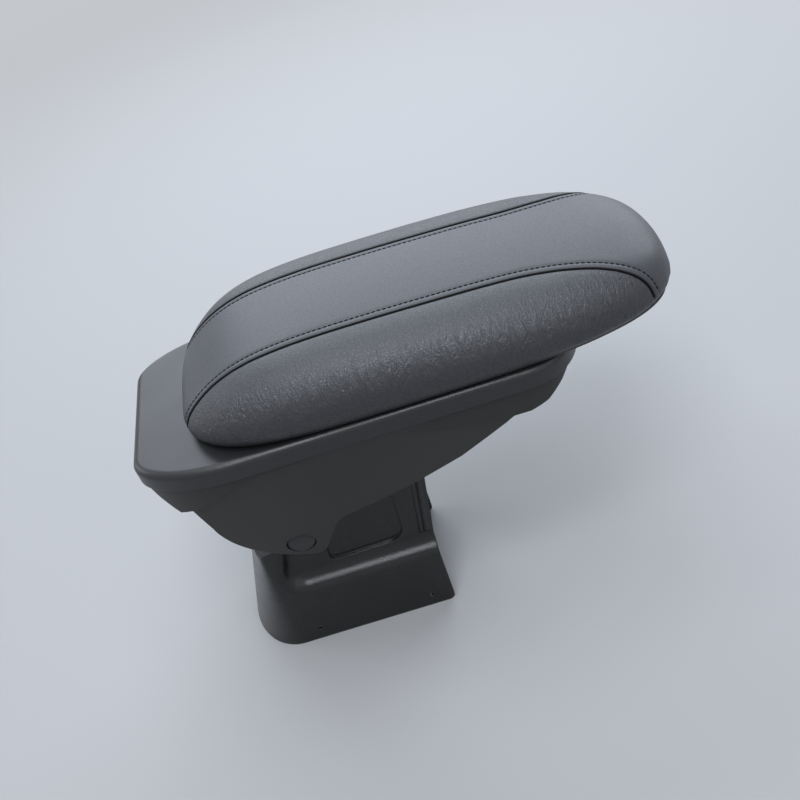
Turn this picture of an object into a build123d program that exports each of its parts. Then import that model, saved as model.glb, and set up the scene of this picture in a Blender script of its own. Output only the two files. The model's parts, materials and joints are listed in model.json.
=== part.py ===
import os
from math import cos, radians, tan

from build123d import *

# Frame: +X runs to the front of the armrest, +Y to its left side, +Z up.
# The origin lies on the saddle's bottom plane, straight below the tilt pivot. All sizes in mm.

# Shared sizes
wall = 3.0                 # moulded wall of the saddle, the box and the lid
joint_gap = 0.3            # air between pieces that move past each other
run_gap = 0.06             # radial play of a pin in its bore
seat_gap = 0.1             # air between a piece and the one it rests on

# Tilt pivot
pivot_height = 108.0       # axis above the saddle's bottom plane
bolt_radius = 4.0
bolt_head_flats = 13.0
bolt_head_height = 5.3
nut_height = 4.6
washer_radius = 8.2
washer_thickness = 1.5
friction_washer_radius = 12.0
friction_washer_thickness = 1.4
cap_radius = 9.6
cap_face = 1.8
cap_skirt = 3.0
cap_skirt_radius = 8.9
cap_skirt_wall = 0.9

# Saddle base
saddle_front = 83.0        # front cut plane
saddle_half = 46.5         # half width at the bottom edge
heel_centre = -32.0        # centre of the half ellipse that closes the rear end
heel_length = 34.5         # reach of that half ellipse at the bottom edge
heel_top = 5.8             # reach of the half ellipse at the rear column's top
side_draft = 1.9           # inward lean of the side walls, degrees
ledge_height = 54.0        # top of the skirt under the sunken side panels
panel_depth = 11.0         # how far the side panels lie inside the bottom edge
panel_rear = -29.0         # rear end of a sunken panel at ledge height
panel_lean = 17.0          # forward lean of that end, degrees
panel_corner = 14.0        # rounding of the panel's lower rear corner
shoulder_round = 7.0
column_drop = 10.0         # top of the rear column below the pivot, where it meets the tower
column_fall = 7.0          # further fall of that top to its rear edge
column_rear = -52.0
tower_head = 14.5          # radius of the tower's head about the pivot
tower_lean = 7.1           # forward lean of the tower's front edge, degrees
tower_lean_rise = 6.0      # start of that lean above the ledge
tower_boss_radius = 13.0
tower_boss_height = 2.4
inner_boss_radius = 10.0
sleeve_half = 24.0
sleeve_wall = 2.6
pocket_depth = 2.2
pocket_round = 4.0
pocket_sweep = 11.0        # rounding of the pocket's lower front corner
bead_radius = 1.7
bead_rise = 12.0           # lower end of the beads above the ledge
bead_margin = 5.5          # upper end of the beads below the tower's top
bead_pitch = 3.8
bead_edge = 4.6            # first bead behind the tower's front edge
screw_hole_radius = 1.5
screw_hole_height = 10.5
screw_hole_rear = -17.6
screw_hole_spacing = 84.7
rib_thickness = 2.4
skirt_corner = 5.0         # rounding of the skirt's lower front corners
buffer_front = 3.0         # front end of the rubber tilt stops behind the saddle's front
buffer_length = 16.0
buffer_in = 13.0
buffer_out = 27.0

# Storage box
floor_rise = 17.0          # underside of the flat floor above the pivot
box_depth = 68.5           # from that floor up to the plane where the lid meets the box
floor_front = 34.0         # front end of the flat floor
# the slope ahead of it: place along X, share of the box's depth
floor_slopes = ((54.5, 0.064), (81.0, 0.165), (118.0, 0.343), (150.0, 0.577))
nose_drop = 18.5           # lower edge of the nose below the lid's plane
cheek_lap = 2.5            # how far the pivot caps' seats stand outside the cheeks' inner sides
cheek_boss_radius = 12.5
cheek_boss_floor = 3.5
mat_thickness = 1.5
shelf_length = 48.0        # shelf at the front wall that carries the magnet
shelf_drop = 7.0
shelf_half = 28.0

# Lid deck
lid_depth = 13.5           # deck's top above the plane where the lid meets the box
deck_rear = -75.8
deck_front = 206.0
deck_half = 71.0
deck_corner_x = 63.8       # reach of the rear corner curves along X
deck_corner_y = 31.0       # reach of the rear corner curves along Y
deck_front_round = 38.0
deck_edge_round = 4.5
deck_rib = 2.2
band_inset = 2.2           # how far the box wall stands inside the lid's rim
deck_rib_depth = 6.0
catch_rise = 2.3           # underside of the catch boss above the lid's plane
plate_thickness = 1.5
plate_half = 12.0
magnet_length = 12.0
magnet_half = 10.0
bumper_radius = 3.5
bumper_y = 21.0
strip_half = 5.0
strip_inset = 19.0         # glide strips inside the deck's side edges

# Lid hinge
hinge_back = 0.7           # hinge axis behind the deck's rear edge
hinge_drop = 7.5           # hinge axis below the lid's plane
hinge_pin_radius = 1.5
knuckle_radius = 3.6
knuckle_centre = 9.6
lug_in = 10.0
lug_out = 17.0
knuckle_in = 17.4
knuckle_out = 24.0

# Padded top
pad_gap = 2.0              # air between the deck and the padded top
pan_thickness = 3.0
cover_thickness = 2.0
soft_gap = 0.25
seam_half = 36.4           # seams between the centre and side panels
seam_gap = 0.4
flare_start = 172.0        # the seams run apart ahead of this place
flare_reach = 32.0
front_square = 0.05        # how much squarer the sections grow towards the front end
slide_travel = 34.0        # backward travel from the forward stop
shoe_places = (20.0, 140.0)
shoe_y = 30.0
stem_length = 16.0
stem_width = 8.0
head_length = 24.0
head_width = 15.0
head_height = 3.0
shoe_screw_radius = 1.5
shoe_screw_head = 3.0
shoe_screw_height = 1.8
# stations of the padded top: place along X, rise of its upper face above its underside, half width
pad_stations = (
    (-39.5, 5.0, 26.0), (-37.0, 10.5, 37.0), (-32.5, 16.0, 46.0), (-24.5, 22.5, 55.0),
    (-10.0, 31.5, 64.5), (10.0, 38.7, 70.6), (36.0, 42.3, 73.8), (80.0, 43.0, 75.2),
    (130.0, 41.8, 75.2), (180.0, 39.3, 73.8), (207.0, 36.8, 70.6), (228.0, 33.9, 66.0),
    (245.0, 30.0, 60.0), (257.0, 25.6, 52.6), (264.0, 20.6, 45.0), (268.0, 14.5, 36.0),
    (270.7, 6.3, 26.0),
)


def prism(face, y_low, y_high):
    # face drawn with X across and Z up, pushed from y_low to y_high
    return Pos(0, y_high, 0) * extrude(Plane.XZ * face, amount=y_high - y_low)


def rod(radius, x, z, y_low, y_high):
    return Pos(x, (y_low + y_high) / 2, z) * Rot(90, 0, 0) * Cylinder(radius, y_high - y_low)


def post(radius, x, y, z_low, z_high):
    return Pos(x, y, (z_low + z_high) / 2) * Cylinder(radius, z_high - z_low)


def ring(outer, inner, x, z, y_low, y_high):
    return rod(outer, x, z, y_low, y_high) - rod(inner, x, z, y_low - 1, y_high + 1)


def block(x_low, x_high, y_low, y_high, z_low, z_high):
    middle = Pos((x_low + x_high) / 2, (y_low + y_high) / 2, (z_low + z_high) / 2)
    return middle * Box(x_high - x_low, y_high - y_low, z_high - z_low)


def hexagon(flats, x, z, y_low, y_high):
    face = Pos(x, z) * RegularPolygon(flats / 2, 6, major_radius=False)
    return prism(face, y_low, y_high)


def flip(shape):
    return mirror(shape, about=Plane.XZ)


def polygon(points):
    return make_face(Polyline(*points, close=True))


def save(shape, name):
    export_step(shape, "parts/" + name + ".step")


os.makedirs("parts", exist_ok=True)

# Heights and places that follow from the sizes above
tower_top = pivot_height + tower_head
tower_lean_start = ledge_height + tower_lean_rise
column_front_top = pivot_height - column_drop
column_rear_top = column_front_top - column_fall
column_high = column_front_top + 2
box_floor = pivot_height + floor_rise
parting_height = box_floor + box_depth
deck_top = parting_height + lid_depth
pad_bottom = deck_top + pad_gap
hinge_x = deck_rear - hinge_back
hinge_z = parting_height - hinge_drop
shelf_rear = deck_front - shelf_length
shelf_top = parting_height - shelf_drop
catch_low = parting_height + catch_rise

# Stack of the tilt pivot, outward from the tower's side panel
panel_half = saddle_half - panel_depth
boss_face = panel_half + tower_boss_height
cheek_inner = boss_face + friction_washer_thickness + seat_gap
cheek_outer = cheek_inner + cheek_boss_floor
washer_out = cheek_outer + washer_thickness
head_out = washer_out + bolt_head_height
cap_seat = head_out + joint_gap
cheek_half = cap_seat - cheek_lap


# Saddle base: half-elliptic heel, straight skirts, sunken side panels and a tower for the pivot.
def saddle_plan(height, inset):
    reach = heel_length - (heel_length - heel_top) * height / column_high - inset
    half = saddle_half - tan(radians(side_draft)) * height - inset
    front = saddle_front + (5 if inset else 0)
    heel = EllipticalCenterArc((heel_centre, 0), reach, half, start_angle=90, arc_size=180)
    low = Line((heel_centre, -half), (front, -half))
    end = Line((front, -half), (front, half))
    high = Line((front, half), (heel_centre, half))
    return Plane.XY.offset(height) * make_face([heel, low, end, high])


def tower_front(height):
    return saddle_front + tan(radians(tower_lean)) * (height - tower_lean_start)


def tower_face(inset):
    reach = tower_head - inset
    rise = pivot_height + reach
    ahead = 5 if inset else 0
    low_front = saddle_front + ahead
    top_front = tower_front(rise) + ahead
    lift = reach * cos(radians(45))
    head = ThreePointArc((-reach, pivot_height), (-lift, pivot_height + lift), (0, rise))
    top = Line((0, rise), (top_front, rise))
    front = Line((top_front, rise), (low_front, tower_lean_start))
    drop = Line((low_front, tower_lean_start), (low_front, ledge_height - 14))
    sole = Line((low_front, ledge_height - 14), (-reach, ledge_height - 14))
    back = Line((-reach, ledge_height - 14), (-reach, pivot_height))
    return make_face([head, top, front, drop, sole, back])


def saddle_body(inset):
    low = -1 if inset else 0
    body = loft([saddle_plan(low, inset), saddle_plan(column_high, inset)], ruled=True)
    column = polygon([
        (-90, -2), (saddle_front + 10, -2), (saddle_front + 10, column_front_top - inset),
        (-tower_head, column_front_top - inset), (column_rear, column_rear_top - inset),
        (-90, column_rear_top - inset),
    ])
    body = body & prism(column, -80, 80)
    rear = panel_rear - inset
    low_edge = ledge_height - inset
    recess = polygon([
        (rear, low_edge), (saddle_front + 20, low_edge), (saddle_front + 20, tower_top + 20),
        (rear + tan(radians(panel_lean)) * (tower_top + 20 - low_edge), tower_top + 20),
    ])
    recess = fillet(recess.vertices().sort_by(Axis.X)[0:1], panel_corner)
    cut = prism(recess, panel_half - inset, 80)
    body = body - cut - flip(cut)
    return body + prism(tower_face(inset), inset - panel_half, panel_half - inset)


def shoulder_edges(body, inset):
    # the L-shaped outer edges between skirt or column and the sunken panels
    picked = []
    for edge in body.edges():
        centre = edge.center()
        side = saddle_half - tan(radians(side_draft)) * centre.Z - inset
        along = edge.tangent_at(0.5)
        near = abs(abs(centre.Y) - side) < 0.5 and ledge_height - inset - 1 < centre.Z < column_front_top
        rising = abs(along.Z) > 0.9 and centre.X < 0
        level = abs(along.X) > 0.99 and abs(centre.Z - ledge_height + inset) < 0.5
        if near and (rising or level or edge.geom_type == GeomType.ELLIPSE):
            picked.append(edge)
    return picked


saddle_outer = saddle_body(0)
saddle_outer = fillet(shoulder_edges(saddle_outer, 0), shoulder_round)
saddle_inner = saddle_body(wall)
saddle_inner = fillet(shoulder_edges(saddle_inner, wall), shoulder_round - wall)
console_base = saddle_outer - saddle_inner

pocket_low = ledge_height + 10
pocket_high = tower_top - 8.5
pocket = polygon([
    (9.5, pocket_low), (saddle_front - 20, pocket_low + 1), (saddle_front - 18, pocket_high),
    (24, pocket_high), (9.5, pocket_low + 18),
])
pocket = fillet(pocket.vertices().sort_by(Axis.Y)[1:2], pocket_sweep)
sharp = [corner for corner in pocket.vertices() if corner.X < 30 or corner.Y > pocket_high - 0.5]
pocket_hollow = fillet(sharp, pocket_round)
pocket_pan = offset(pocket_hollow, amount=wall)
floor_y = panel_half - pocket_depth
for turn in (1, -1):
    backing = prism(pocket_pan, floor_y - wall, panel_half - wall / 2)
    hollow = prism(pocket_hollow, floor_y, panel_half + 5)
    boss = rod(tower_boss_radius, 0, pivot_height, panel_half - 1, boss_face)
    boss = boss + rod(inner_boss_radius, 0, pivot_height, sleeve_half + seat_gap, panel_half)
    beads = []
    bead_low = ledge_height + bead_rise
    bead_high = tower_top - bead_margin
    for step in (0, 1):
        x_low = tower_front(bead_low) - bead_edge - bead_pitch * step
        rise = Vector(tan(radians(tower_lean)), 0, 1)
        place = Plane(origin=(x_low, panel_half, bead_low), z_dir=rise)
        length = (bead_high - bead_low) * rise.length
        beads.append(place * Pos(0, 0, length / 2) * Cylinder(bead_radius, length))
    half = backing + boss + beads
    if turn == -1:
        half = flip(half)
        hollow = flip(hollow)
    console_base = console_base + half - hollow
rib_half = panel_half - wall + 1
for place in (saddle_front - 57, saddle_front - 27):
    rib = block(place, place + rib_thickness, -rib_half, rib_half, pocket_low + 14, tower_top - 1)
    console_base = console_base + rib
console_base = console_base - rod(bolt_radius + run_gap, 0, pivot_height, -60, 60)
for step in (0, 1):
    x_hole = screw_hole_rear + screw_hole_spacing * step
    console_base = console_base - rod(screw_hole_radius, x_hole, screw_hole_height, -60, 60)
corners = []
for edge in console_base.edges().filter_by(Axis.Y):
    if abs(edge.center().X - saddle_front) < 0.1 and abs(edge.center().Z) < 0.1:
        corners.append(edge)
console_base = fillet(corners, skirt_corner)
save(console_base, "console_base")

pivot_sleeve = ring(
    bolt_radius + run_gap + sleeve_wall, bolt_radius + run_gap, 0, pivot_height, -sleeve_half, sleeve_half
)
save(pivot_sleeve, "pivot_sleeve")

friction_washer = ring(
    friction_washer_radius, bolt_radius + run_gap, 0, pivot_height,
    boss_face, boss_face + friction_washer_thickness,
)
save(Compound([friction_washer, flip(friction_washer)]), "friction_washers")


# Storage box: a barrel-shaped tub under a straight-sided band, with two cheeks down to the pivot.
def depth_point(x, share):
    return (x, box_floor + share * box_depth)


slope_points = [(floor_front, box_floor)] + [depth_point(x, share) for x, share in floor_slopes]


def underside(x):
    for first, second in zip(slope_points, slope_points[1:]):
        if first[0] <= x <= second[0]:
            return first[1] + (second[1] - first[1]) * (x - first[0]) / (second[0] - first[0])
    return box_floor


def barrel_plan(height, rear, middle, front, inset):
    x_rear = deck_rear + 11.8 + inset
    x_front = deck_front - 7 - inset
    x_mid = (x_rear + x_front) / 2 - 12.5
    near = ThreePointArc((x_rear, inset - rear), (x_mid, inset - middle), (x_front, inset - front))
    end = Line(near @ 1, (x_front, front - inset))
    far = ThreePointArc(end @ 1, (x_mid, middle - inset), (x_rear, rear - inset))
    heel = Line(far @ 1, near @ 0)
    face = make_face([near, end, far, heel])
    face = fillet(face.vertices().sort_by(Axis.X)[0:2], 20 - inset)
    return Plane.XY.offset(height) * face


def barrel(inset):
    return loft([
        barrel_plan(pivot_height - 24, cheek_half - 2, cheek_half + 1.2, cheek_half - 5.5, inset),
        barrel_plan(pivot_height + 37, deck_half - 16.5, deck_half - 9, deck_half - 19, inset),
        barrel_plan(parting_height + 4.5, deck_half - 10.5, deck_half - 0.4, deck_half - 11, inset),
    ])


def tub_face(inset):
    rear = [(18.8, 1.066), (23.3, 0.715), (27.0, 0.488), (30.3, 0.285)]
    points = [depth_point(deck_rear + step, share) for step, share in rear]
    points += [(-20, box_floor)] + slope_points
    front = [(38.0, 0.73), (20.0, 0.861), (12.0, 1.066)]
    points += [depth_point(deck_front - step, share) for step, share in front]
    face = polygon(points)
    if inset:
        face = offset(face, amount=-inset, kind=Kind.INTERSECTION)
    return face


def band_face(inset):
    top = parting_height + (inset + 1 if inset else 0)
    rear = [(17.8, 22.0), (26.8, 20.5), (50.8, 10.0), (75.8, 3.0)]
    front = [
        (126.0, 4.0), (108.0, 8.0), (57.0, nose_drop), (40.0, nose_drop),
        (28.0, nose_drop - 3.5), (17.0, 7.5),
    ]
    points = [(deck_rear + 2.3, top)]
    points += [(deck_rear + step, parting_height - drop) for step, drop in rear]
    points += [(deck_front - step, parting_height - drop) for step, drop in front]
    points += [(deck_front - 8.5, top)]
    face = polygon(points)
    if inset:
        face = offset(face, amount=-inset, kind=Kind.INTERSECTION)
    return face


def cheek_face():
    # outline about the pivot, down to a rounded toe below it
    outline = Pos(0, pivot_height)
    rear = Spline((-46.3, 39.3), (-37.3, 15.6), (-21.9, -1.4), (1.3, -15.7))
    toe = ThreePointArc((1.3, -15.7), (8.6, -17.1), (13.6, -14))
    front = Line((13.6, -14), (28.5, floor_rise - 4.5))
    step = Line((28.5, floor_rise - 4.5), (floor_front + 2, floor_rise + 2))
    rise = Line((floor_front + 2, floor_rise + 2), (floor_front + 2, 39.3))
    top = Line((floor_front + 2, 39.3), (-46.3, 39.3))
    return outline * make_face([rear, toe, front, step, rise, top])


def deck_plan(inset):
    reach_x = deck_corner_x - inset
    reach_y = deck_corner_y - inset
    turn = deck_front_round - inset
    x_rear = deck_rear + inset
    x_mid = deck_rear + deck_corner_x
    x_front = deck_front - inset
    half = deck_half - inset
    y_mid = deck_half - deck_corner_y
    near_rear = EllipticalCenterArc((x_mid, -y_mid), reach_x, reach_y, start_angle=180, arc_size=90)
    near = Line((x_mid, -half), (x_front - turn, -half))
    near_front = CenterArc((x_front - turn, -half + turn), turn, 270, 90)
    front = Line((x_front, -half + turn), (x_front, half - turn))
    far_front = CenterArc((x_front - turn, half - turn), turn, 0, 90)
    far = Line((x_front - turn, half), (x_mid, half))
    far_rear = EllipticalCenterArc((x_mid, y_mid), reach_x, reach_y, start_angle=90, arc_size=90)
    rear = Line((x_rear, y_mid), (x_rear, -y_mid))
    return make_face([near_rear, near, near_front, front, far_front, far, far_rear, rear])


def band(inset):
    plan = extrude(Pos(0, 0, box_floor) * deck_plan(band_inset + inset), amount=box_depth + 20)
    return plan & prism(band_face(inset), -90, 90)


air_half = deck_half + 50
lid_air = block(deck_rear - 50, deck_front + 50, -air_half, air_half, parting_height, deck_top + 50)
barrel_outer = barrel(0)
tub = barrel_outer & prism(tub_face(0), -90, 90)
cheeks = barrel_outer & prism(cheek_face(), -90, 90)
cheeks = cheeks - block(deck_rear, deck_front, -cheek_half, cheek_half, pivot_height - 30, parting_height)
hinge_web = polygon([
    (hinge_x, hinge_z + knuckle_radius), (hinge_x + 12.5, hinge_z + 4.5), (hinge_x + 20.5, hinge_z - 14),
    (hinge_x + 1.5, hinge_z - knuckle_radius + 0.4),
])
storage_box = tub + band(0) + cheeks
knuckles = ((-knuckle_centre, knuckle_centre), (knuckle_in, knuckle_out), (-knuckle_out, -knuckle_in))
for low, high in knuckles:
    storage_box = storage_box + prism(hinge_web, low, high)
    storage_box = storage_box + rod(knuckle_radius, hinge_x, hinge_z, low, high)
cavity = barrel(wall) & prism(tub_face(wall), -90, 90)
cavity = cavity + band(wall)
shelf = block(shelf_rear, deck_front, -shelf_half, shelf_half, shelf_top - wall, shelf_top)
storage_box = storage_box - cavity + (shelf & band(wall / 2)) - lid_air
boss = rod(cheek_boss_radius, 0, pivot_height, cheek_inner, cheek_half + 2)
storage_box = storage_box + boss + flip(boss)
bore = rod(bolt_radius + run_gap + 0.3, 0, pivot_height, 0, 60)
bore = bore + rod(cap_skirt_radius + run_gap, 0, pivot_height, cheek_outer, 60)
bore = bore + rod(cap_radius + joint_gap, 0, pivot_height, cap_seat, 70)
storage_box = storage_box - bore - flip(bore)
storage_box = storage_box - rod(hinge_pin_radius + run_gap, hinge_x, hinge_z, -50, 50)
save(storage_box, "storage_box")

mat_low = box_floor + wall
mat_sheet = block(-14, floor_front - 4, -deck_half, deck_half, mat_low, mat_low + mat_thickness)
box_mat = barrel(wall + 0.8) & mat_sheet
save(box_mat, "box_mat")


def buffer(y_low, y_high):
    front = saddle_front - buffer_front
    rear = front - buffer_length
    face = polygon([
        (rear, tower_top), (front, tower_top),
        (front, underside(front) - seat_gap), (rear, underside(rear) - seat_gap),
    ])
    return prism(face, y_low, y_high)


save(Compound([buffer(buffer_in, buffer_out), buffer(-buffer_out, -buffer_in)]), "tilt_buffers")

# Tilt pivot: bolt head on the right side, nut on the left side, a cap over each.
pivot_bolt = rod(bolt_radius, 0, pivot_height, -washer_out - 1, washer_out + nut_height + 0.6)
pivot_bolt = pivot_bolt + hexagon(bolt_head_flats, 0, pivot_height, -head_out, -washer_out)
save(pivot_bolt, "pivot_bolt")
pivot_nut = hexagon(bolt_head_flats, 0, pivot_height, washer_out, washer_out + nut_height)
pivot_nut = pivot_nut - rod(bolt_radius + run_gap, 0, pivot_height, 0, 60)
save(pivot_nut, "pivot_nut")
washer = ring(washer_radius, bolt_radius + run_gap, 0, pivot_height, cheek_outer, washer_out)
save(Compound([washer, flip(washer)]), "pivot_washers")
cap_room = cap_skirt_radius - cap_skirt_wall
pivot_cap = rod(cap_radius, 0, pivot_height, cap_seat, cap_seat + cap_face)
pivot_cap = chamfer(pivot_cap.edges().sort_by(Axis.Y)[-1:], 0.7)
skirt_end = cap_seat - cap_skirt
pivot_cap = pivot_cap + ring(cap_skirt_radius, cap_room, 0, pivot_height, skirt_end, cap_seat + 0.5)
save(pivot_cap, "pivot_cap_left")
save(flip(pivot_cap), "pivot_cap_right")

# Lid deck: flat top with a rounded edge and a deep rim, four slots for the sliding shoes.
rim_low = parting_height + 0.2
lid_outer = extrude(Pos(0, 0, rim_low) * deck_plan(0), amount=deck_top - rim_low)
lid_outer = fillet(lid_outer.faces().sort_by(Axis.Z)[-1].edges(), deck_edge_round)
lid_room = extrude(Pos(0, 0, rim_low - 1) * deck_plan(wall), amount=deck_top - wall - rim_low + 1)
lid_deck = lid_outer - lid_room
deck_low = deck_top - wall
stiffeners = []
rib_low = deck_low - deck_rib_depth
for y in (-48, -14, 14, 48):
    low_y = y - deck_rib / 2
    stiffeners.append(block(deck_rear + 9.8, deck_front - 10, low_y, low_y + deck_rib, rib_low, deck_low + 1))
for x in (deck_rear + 31.8, deck_front - 144, deck_front - 24):
    low_x = x - deck_rib / 2
    stiffeners.append(block(low_x, low_x + deck_rib, 2 - deck_half, deck_half - 2, rib_low, deck_low + 1))
boss_half = shelf_half - 1
boss_front = shelf_rear + magnet_length + 6
stiffeners.append(block(shelf_rear + 2, boss_front, -boss_half, boss_half, catch_low, deck_low + 1))
tab = block(deck_front - 2, deck_front + 7, -18, 18, rim_low, rim_low + wall)
strap_rear = hinge_x - 2.1
strap_front = hinge_x + 1.6
strap = block(strap_rear, strap_front, lug_in, lug_out, hinge_z, rim_low + 3.5)
lug = strap + rod(knuckle_radius, hinge_x, hinge_z, lug_in, lug_out)
lid_deck = lid_deck + [piece & lid_outer for piece in stiffeners] + tab
lid_deck = lid_deck + lug + flip(lug)
lid_deck = lid_deck - rod(hinge_pin_radius + run_gap, hinge_x, hinge_z, -50, 50)
for x in shoe_places:
    for y in (-shoe_y, shoe_y):
        reach = stem_length / 2 + joint_gap
        half = stem_width / 2 + joint_gap
        slot = block(x - reach - slide_travel, x + reach, y - half, y + half, deck_low - 1, deck_top + 1)
        lid_deck = lid_deck - slot
save(lid_deck, "lid_deck")

hinge_pin = rod(hinge_pin_radius, hinge_x, hinge_z, -knuckle_out, knuckle_out)
save(hinge_pin, "hinge_pin")

strips = []
strip_y = deck_half - strip_inset
for y in (-strip_y, strip_y):
    strips.append(block(0, deck_front - 26, y - strip_half, y + strip_half, deck_top, pad_bottom - joint_gap))
save(Compound(strips), "glide_strips")

plate_low = catch_low - plate_thickness
magnet_rear = shelf_rear + 4
magnet_front = magnet_rear + magnet_length
catch_magnet = block(magnet_rear, magnet_front, -magnet_half, magnet_half, shelf_top, plate_low - joint_gap)
save(catch_magnet, "catch_magnet")
catch_plate = block(magnet_rear, magnet_front, -plate_half, plate_half, plate_low, catch_low)
save(catch_plate, "catch_plate")
bumpers = []
for y in (-bumper_y, bumper_y):
    middle = (magnet_rear + magnet_front) / 2
    bumpers.append(post(bumper_radius, middle, y, shelf_top, catch_low - seat_gap))
save(Compound(bumpers), "lid_bumpers")


# Padded top: loaf-shaped cushion lofted through the stations, split into pan, foam and three cover panels.
def pad_section(x, top, half, low):
    rise = top - low
    ahead = max(x - flare_start, 0) / (pad_stations[-1][0] - flare_start)
    square = front_square * ahead
    side = [
        (0, top + 1.5), (0.49 + square / 2, top + 0.6), (0.73 + square, top - 0.05 * rise),
        (0.9 + square / 2, top - 0.26 * rise), (1.0, low + 0.38 * rise),
        (0.96, low + 0.07 * rise), (0.93, low),
    ]
    near = [(-share * half, z) for share, z in reversed(side[1:])]
    far = [(share * half, z) for share, z in side]
    skin = Spline(*(near + far))
    sole = Line(skin @ 1, skin @ 0)
    plane = Plane(origin=(x, 0, 0), x_dir=(0, 1, 0), z_dir=(1, 0, 0))
    return plane * make_face([skin, sole])


def pad_body(inset):
    first = pad_stations[0][0]
    last = pad_stations[-1][0]
    centre = (first + last) / 2
    shrink = 1 - 2 * inset / (last - first)
    low = pad_bottom - (2 if inset else 0)
    sections = []
    for x, rise, half in pad_stations:
        place = centre + (x - centre) * shrink
        sections.append(pad_section(place, pad_bottom + rise - inset, half - inset, low))
    return loft(sections)


def centre_strip(half):
    # plan of the centre panel, straight for most of its length and flaring towards the front
    first = pad_stations[0][0] - 40
    last = pad_stations[-1][0] + 10.5
    straight = Line((first, half), (flare_start, half))
    flare = TangentArc(straight @ 1, (last, half + flare_reach), tangent=(1, 0))
    end = Line(flare @ 1, (last, -half - flare_reach))
    back = TangentArc((flare_start, -half), (last, -half - flare_reach), tangent=(1, 0))
    low = Line((flare_start, -half), (first, -half))
    rear = Line((first, -half), (first, half))
    plan = make_face([straight, flare, end, back, low, rear])
    return extrude(Pos(0, 0, pad_bottom - 20) * plan, amount=120)


pad_rear = pad_stations[0][0] - 60
pad_front = pad_stations[-1][0] + 30
pad_half = deck_half + 30
pad_high = pad_bottom + 90
cover = pad_body(0) - pad_body(cover_thickness)
centre_panel = cover & centre_strip(seam_half - seam_gap / 2)
left_side = block(pad_rear, pad_front, 0, pad_half, pad_bottom - 20, pad_high)
left_panel = (cover & left_side) - centre_strip(seam_half + seam_gap / 2)
save(centre_panel, "cover_centre_panel")
save(left_panel, "cover_left_panel")
save(flip(left_panel), "cover_right_panel")
pan_top = pad_bottom + pan_thickness
core = pad_body(cover_thickness + soft_gap)
pad_foam = core & block(pad_rear, pad_front, -pad_half, pad_half, pan_top + soft_gap, pad_high)
save(pad_foam, "pad_foam")
pad_pan = core & block(pad_rear, pad_front, -pad_half, pad_half, pad_bottom, pan_top)
shoes = []
screws = []
head_top = deck_low - joint_gap
head_low = head_top - head_height
for x in shoe_places:
    for y in (-shoe_y, shoe_y):
        low_x = x - stem_length / 2
        low_y = y - stem_width / 2
        stem = block(low_x, low_x + stem_length, low_y, low_y + stem_width, head_top - 0.5, pad_bottom)
        low_x = x - head_length / 2
        low_y = y - head_width / 2
        shoe = block(low_x, low_x + head_length, low_y, low_y + head_width, head_low, head_top)
        shoe = shoe + stem - post(shoe_screw_radius + 0.1, x, y, head_low - 1, pad_bottom + 1)
        shoes.append(shoe)
        screw = post(shoe_screw_radius, x, y, head_low - 1, pan_top - 0.6)
        screws.append(screw + post(shoe_screw_head, x, y, head_low - shoe_screw_height, head_low))
        pad_pan = pad_pan - post(shoe_screw_radius + 0.1, x, y, pad_bottom - 1, pan_top + 1)
save(pad_pan, "pad_pan")
save(Compound(shoes), "slide_shoes")
save(Compound(screws), "shoe_screws")
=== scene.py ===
import json
import math
import bmesh
import bpy
from mathutils import Matrix, Vector
from mathutils.bvhtree import BVHTree
from mathutils.kdtree import KDTree


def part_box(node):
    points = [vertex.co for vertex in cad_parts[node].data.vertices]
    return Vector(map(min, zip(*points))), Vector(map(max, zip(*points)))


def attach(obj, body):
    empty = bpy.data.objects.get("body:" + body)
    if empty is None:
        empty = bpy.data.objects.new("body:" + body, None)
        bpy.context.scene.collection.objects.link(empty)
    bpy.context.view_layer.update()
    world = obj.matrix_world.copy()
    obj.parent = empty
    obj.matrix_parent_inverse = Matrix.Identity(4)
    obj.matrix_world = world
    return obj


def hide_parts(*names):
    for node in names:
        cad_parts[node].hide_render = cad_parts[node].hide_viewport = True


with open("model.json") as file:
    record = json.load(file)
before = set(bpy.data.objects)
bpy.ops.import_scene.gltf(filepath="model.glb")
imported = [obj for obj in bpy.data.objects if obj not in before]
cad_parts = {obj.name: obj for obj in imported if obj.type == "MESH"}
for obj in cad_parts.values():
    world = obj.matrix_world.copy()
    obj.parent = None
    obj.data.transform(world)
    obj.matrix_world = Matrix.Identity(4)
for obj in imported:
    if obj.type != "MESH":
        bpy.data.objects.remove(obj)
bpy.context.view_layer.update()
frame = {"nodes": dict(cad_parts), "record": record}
nodes = frame["nodes"]
mm = 0.001
print("frame loaded:", len(nodes), "nodes")


def newGroup(name, inputs, outputs):
    group = bpy.data.node_groups.new(name, "ShaderNodeTree")
    for label, kind, value in inputs:
        socket = group.interface.new_socket(label, in_out="INPUT", socket_type=kind)
        if value is not None:
            socket.default_value = value
    for label, kind in outputs:
        group.interface.new_socket(label, in_out="OUTPUT", socket_type=kind)
    return group, group.nodes.new("NodeGroupInput"), group.nodes.new("NodeGroupOutput")


def mathNode(tree, operation, a, b=None):
    node = tree.nodes.new("ShaderNodeMath")
    node.operation = operation
    for socket, value in zip(node.inputs, (a, b)):
        if value is None:
            continue
        if isinstance(value, (int, float)):
            socket.default_value = value
        else:
            tree.links.new(value, socket)
    return node.outputs[0]


def rangeNode(tree, value, fromLow, fromHigh, toLow, toHigh):
    node = tree.nodes.new("ShaderNodeMapRange")
    tree.links.new(value, node.inputs["Value"])
    for label, number in (("From Min", fromLow), ("From Max", fromHigh), ("To Min", toLow), ("To Max", toHigh)):
        if isinstance(number, (int, float)):
            node.inputs[label].default_value = number
        else:
            tree.links.new(number, node.inputs[label])
    return node.outputs["Result"]


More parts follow.
